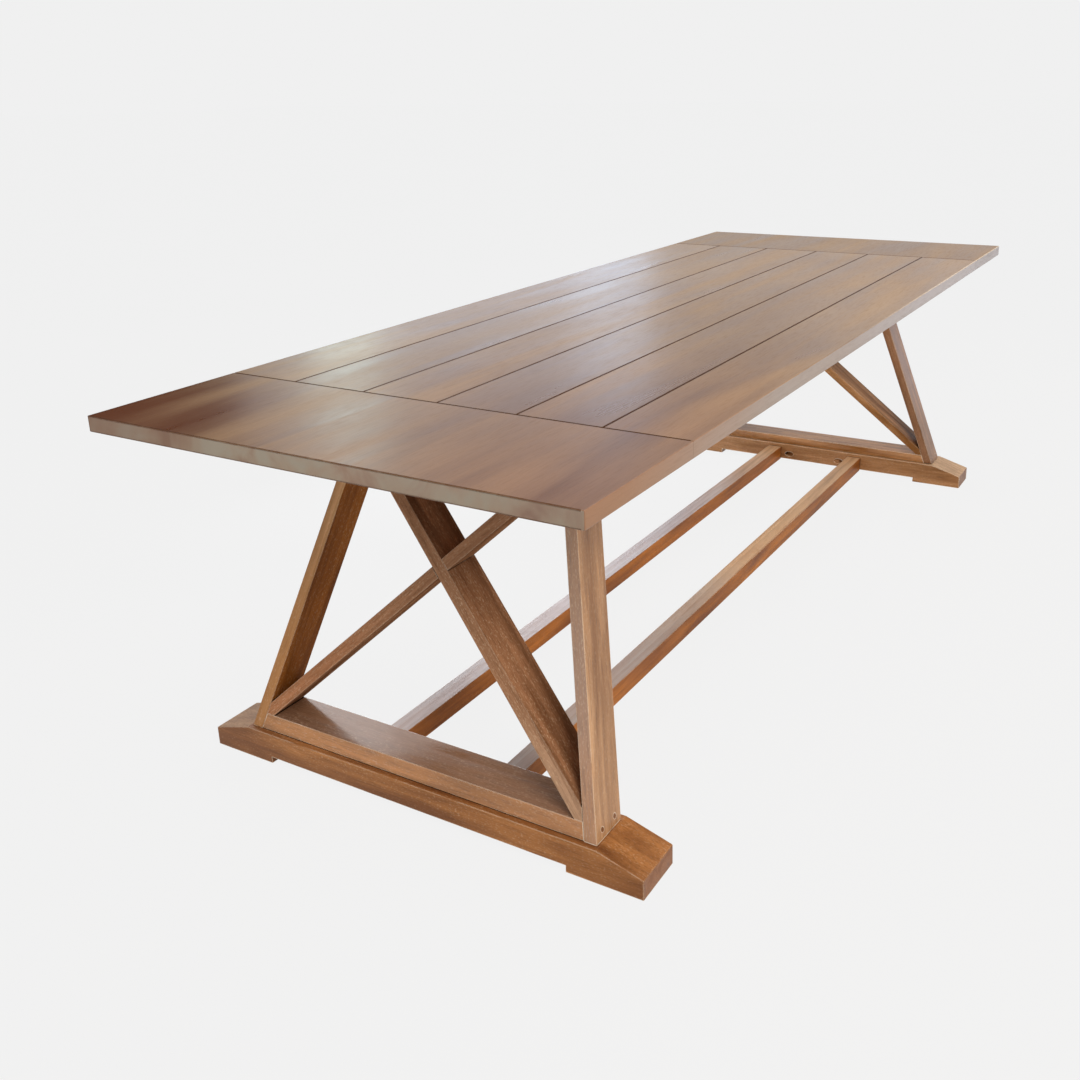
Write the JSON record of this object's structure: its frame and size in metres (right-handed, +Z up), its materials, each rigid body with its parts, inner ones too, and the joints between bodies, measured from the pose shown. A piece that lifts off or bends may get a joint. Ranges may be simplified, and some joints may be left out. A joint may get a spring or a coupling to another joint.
{
  "type": "trestle dining table",
  "caption": "Trestle dining table in stained wood: plank top with breadboard ends on inward-leaning cross-braced trestles with sloping feet, joined low down by parallel stretchers.",
  "frame": {"origin": "on the floor under the middle of the table", "axes": "+X along the table's length, +Y across its width, +Z up"},
  "size_m": [2.7, 1.02, 0.762],
  "materials": {
    "top_wood": "satin stain",
    "base_wood": "satin stain, worn edges",
    "joint_wood": "bare",
    "screw_steel": "zinc plated"
  },
  "bodies": {
    "root": {"back_stretcher": "base_wood", "batten_screws": "screw_steel", "batten_washers": "screw_steel", "centre_batten": "base_wood", "front_stretcher": "base_wood", "left_back_brace": "base_wood", "left_back_leg": "base_wood", "left_bearer": "base_wood", "left_bearer_screws": "screw_steel", "left_bearer_washers": "screw_steel", "left_bottom_rail": "base_wood", "left_brace_dowels": "joint_wood", "left_breadboard_end": "top_wood", "left_breadboard_pegs": "joint_wood", "left_foot": "base_wood", "left_foot_screws": "screw_steel", "left_foot_washers": "screw_steel", "left_front_brace": "base_wood", "left_front_leg": "base_wood", "left_leg_plugs": "joint_wood", "left_leg_screws": "screw_steel", "left_rail_screws": "screw_steel", "left_stretcher_screws": "screw_steel", "left_top_rail": "base_wood", "plank_spline_1": "joint_wood", "plank_spline_2": "joint_wood", "plank_spline_3": "joint_wood", "plank_spline_4": "joint_wood", "plank_spline_5": "joint_wood", "right_back_brace": "base_wood", "right_back_leg": "base_wood", "right_bearer": "base_wood", "right_bearer_screws": "screw_steel", "right_bearer_washers": "screw_steel", "right_bottom_rail": "base_wood", "right_brace_dowels": "joint_wood", "right_breadboard_end": "top_wood", "right_breadboard_pegs": "joint_wood", "right_foot": "base_wood", "right_foot_screws": "screw_steel", "right_foot_washers": "screw_steel", "right_front_brace": "base_wood", "right_front_leg": "base_wood", "right_leg_plugs": "joint_wood", "right_leg_screws": "screw_steel", "right_rail_screws": "screw_steel", "right_stretcher_screws": "screw_steel", "right_top_rail": "base_wood", "top_plank_1": "top_wood", "top_plank_2": "top_wood", "top_plank_3": "top_wood", "top_plank_4": "top_wood", "top_plank_5": "top_wood", "top_plank_6": "top_wood"}
  },
  "joints": []
}
